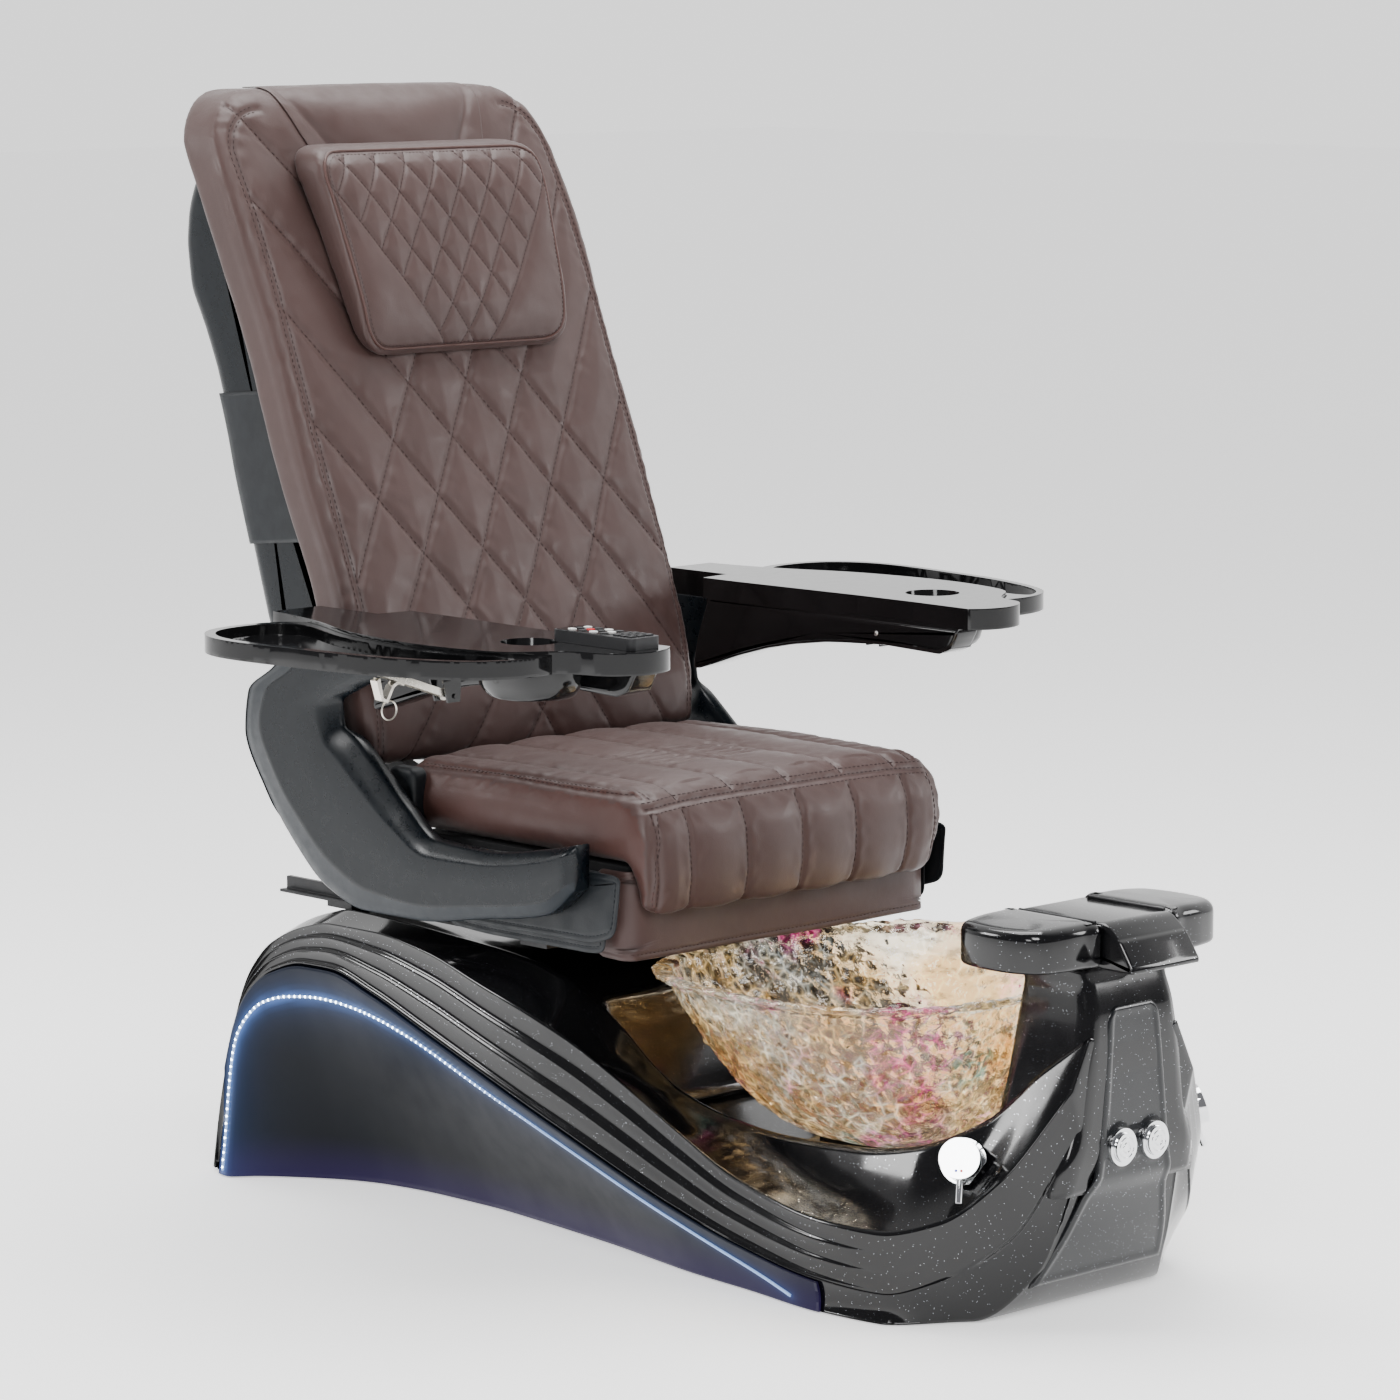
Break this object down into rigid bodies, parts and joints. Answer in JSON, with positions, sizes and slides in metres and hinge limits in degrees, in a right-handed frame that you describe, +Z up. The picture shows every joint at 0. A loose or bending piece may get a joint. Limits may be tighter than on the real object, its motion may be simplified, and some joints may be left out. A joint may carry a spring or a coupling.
{
  "type": "pedicure spa chair",
  "caption": "Pedicure spa chair: padded reclining massage seat with lifting arms and fold-down trays, on a moulded base with a glass foot bowl and a footrest.",
  "frame": {"origin": "on the floor under the middle of the base", "axes": "+X to the sitter's left, -Y to the front (footrest end), +Z up"},
  "size_m": [1.1944, 1.56, 1.45],
  "materials": {
    "gelcoat_black": "black gelcoat with fine silver flake",
    "panel_black": "smooth glossy black panel",
    "plastic_black": "moulded black plastic",
    "led_strip": "frosted light strip",
    "bowl_glass": "hammered amber glass",
    "seal_rubber": "black rubber",
    "chrome": "polished chrome",
    "pipe_plastic": "grey pipe",
    "pipe_metal": "braided and threaded steel",
    "frame_steel": "black painted steel",
    "seat_board": "plywood",
    "leather_brown": "brown synthetic leather, stitched",
    "leather_navy": "dark navy synthetic leather",
    "plastic_navy": "satin dark navy plastic",
    "massage_plastic": "moulded grey plastic",
    "arm_gloss": "gloss black",
    "brace_steel": "bright zinc steel",
    "remote_plastic": "black with grey keys"
  },
  "bodies": {
    "base": {"tub_shell": "gelcoat_black", "base_pan": "plastic_black", "light_panel_left": "panel_black", "light_panel_right": "panel_black", "led_strip_left": "led_strip", "led_strip_right": "led_strip", "footrest_pedestal": "gelcoat_black", "access_panel": "panel_black", "foot_bowl": "bowl_glass", "bowl_gasket": "seal_rubber", "drain_fitting": "chrome", "jet_housing": "chrome", "jet_motor": "plastic_black", "bowl_light": "led_strip", "drain_pipe": "pipe_plastic", "supply_pipes": "pipe_metal", "tap_bodies": "chrome", "footrest_centre": "gelcoat_black", "footrest_pins": "frame_steel", "button_housings": "plastic_black", "slide_rails": "frame_steel", "slide_motor": "plastic_black", "control_box": "plastic_black"},
    "seat": {"slide_carriages": "frame_steel", "slide_rod": "frame_steel", "seat_beams": "frame_steel", "seat_crossbars": "frame_steel", "seat_pan": "seat_board", "seat_cushion": "leather_brown", "front_apron": "leather_brown", "side_apron_left": "leather_navy", "side_apron_right": "leather_navy", "side_cover_left": "plastic_navy", "side_cover_right": "plastic_navy", "recline_pins": "frame_steel", "arm_pins": "frame_steel"},
    "back": {"back_frame": "frame_steel", "back_shell": "plastic_navy", "backrest_cushion": "leather_brown", "head_pillow": "leather_brown", "massage_rails": "frame_steel"},
    "massage_carriage": {"massage_carriage": "massage_plastic"},
    "massage_rollers": {"massage_rollers": "massage_plastic"},
    "arm_left": {"arm_left": "arm_gloss"},
    "arm_right": {"arm_right": "arm_gloss", "remote_control": "remote_plastic"},
    "tray_left": {"tray_left": "arm_gloss"},
    "tray_right": {"tray_right": "arm_gloss"},
    "tray_brace_left": {"tray_brace_left": "brace_steel"},
    "tray_brace_right": {"tray_brace_right": "brace_steel"},
    "footrest_wing_left": {"footrest_wing_left": "gelcoat_black"},
    "footrest_wing_right": {"footrest_wing_right": "gelcoat_black"},
    "tap_collar_left": {"tap_collar_left": "chrome"},
    "tap_collar_right": {"tap_collar_right": "chrome"},
    "tap_lever_left": {"tap_lever_left": "chrome"},
    "tap_lever_right": {"tap_lever_right": "chrome"},
    "air_button_left": {"air_button_left": "chrome"},
    "air_button_right": {"air_button_right": "chrome"},
    "drain_stopper": {"drain_stopper": "chrome"},
    "jet_impeller": {"jet_impeller": "plastic_black"}
  },
  "joints": [
    {"name": "seat_slide", "type": "slide", "parent": "base", "child": "seat", "axis": [0, 1, 0], "range_m": [-0.07, 0.06]},
    {"name": "back_recline", "type": "hinge", "parent": "seat", "child": "back", "pos_m": [0, 0.3, 0.545], "axis": [-1, 0, 0], "range_deg": [0, 30]},
    {"name": "massage_lift", "type": "slide", "parent": "back", "child": "massage_carriage", "axis": [0, 0.375, 0.927], "range_m": [0, 0.24]},
    {"name": "massage_spin", "type": "hinge", "parent": "massage_carriage", "child": "massage_rollers", "pos_m": [0, 0.4615, 0.7751], "axis": [1, 0, 0], "continuous": true},
    {"name": "arm_lift_left", "type": "hinge", "parent": "seat", "child": "arm_left", "pos_m": [0.32, 0.395, 0.722], "axis": [-1, 0, 0], "range_deg": [0, 50]},
    {"name": "tray_fold_left", "type": "hinge", "parent": "arm_left", "child": "tray_left", "pos_m": [0.478, 0.08, 0.7565], "axis": [0, 1, 0], "range_deg": [0, 85]},
    {"name": "brace_fold_left", "type": "hinge", "parent": "arm_left", "child": "tray_brace_left", "pos_m": [0.385, 0.054, 0.7115], "axis": [0, 1, 0], "range_deg": [0, 67]},
    {"name": "wing_fold_left", "type": "hinge", "parent": "base", "child": "footrest_wing_left", "pos_m": [0.0623, -0.68, 0.4875], "axis": [0, -1, 0], "range_deg": [0, 90]},
    {"name": "tap_turn_left", "type": "hinge", "parent": "base", "child": "tap_collar_left", "pos_m": [0.207, -0.658, 0.21], "axis": [0.769, -0.5593, 0.3096], "range_deg": [-45, 45]},
    {"name": "tap_tilt_left", "type": "hinge", "parent": "tap_collar_left", "child": "tap_lever_left", "pos_m": [0.207, -0.658, 0.21], "axis": [-0.5882, -0.8087, 0], "range_deg": [0, 12]},
    {"name": "button_press_left", "type": "slide", "parent": "base", "child": "air_button_left", "axis": [0, 1, 0], "range_m": [0, 0.004], "stiffness_N_per_m": 600},
    {"name": "arm_lift_right", "type": "hinge", "parent": "seat", "child": "arm_right", "pos_m": [-0.32, 0.395, 0.722], "axis": [-1, 0, 0], "range_deg": [0, 50]},
    {"name": "tray_fold_right", "type": "hinge", "parent": "arm_right", "child": "tray_right", "pos_m": [-0.478, 0.08, 0.7565], "axis": [0, -1, 0], "range_deg": [0, 85]},
    {"name": "brace_fold_right", "type": "hinge", "parent": "arm_right", "child": "tray_brace_right", "pos_m": [-0.385, 0.054, 0.7115], "axis": [0, -1, 0], "range_deg": [0, 67]},
    {"name": "wing_fold_right", "type": "hinge", "parent": "base", "child": "footrest_wing_right", "pos_m": [-0.0623, -0.68, 0.4875], "axis": [0, 1, 0], "range_deg": [0, 90]},
    {"name": "tap_turn_right", "type": "hinge", "parent": "base", "child": "tap_collar_right", "pos_m": [-0.207, -0.658, 0.21], "axis": [-0.769, -0.5593, 0.3096], "range_deg": [-45, 45]},
    {"name": "tap_tilt_right", "type": "hinge", "parent": "tap_collar_right", "child": "tap_lever_right", "pos_m": [-0.207, -0.658, 0.21], "axis": [-0.5882, 0.8087, 0], "range_deg": [0, 12]},
    {"name": "button_press_right", "type": "slide", "parent": "base", "child": "air_button_right", "axis": [0, 1, 0], "range_m": [0, 0.004], "stiffness_N_per_m": 600},
    {"name": "stopper_lift", "type": "slide", "parent": "base", "child": "drain_stopper", "axis": [0, 0, 1], "range_m": [0, 0.008]},
    {"name": "jet_spin", "type": "hinge", "parent": "base", "child": "jet_impeller", "pos_m": [0, -0.425, 0.19], "axis": [0, 0, 1], "continuous": true}
  ],
  "couplings": [
    {"joint": "brace_fold_left", "follows": "tray_fold_left", "ratio": 0.786},
    {"joint": "brace_fold_right", "follows": "tray_fold_right", "ratio": 0.786}
  ]
}
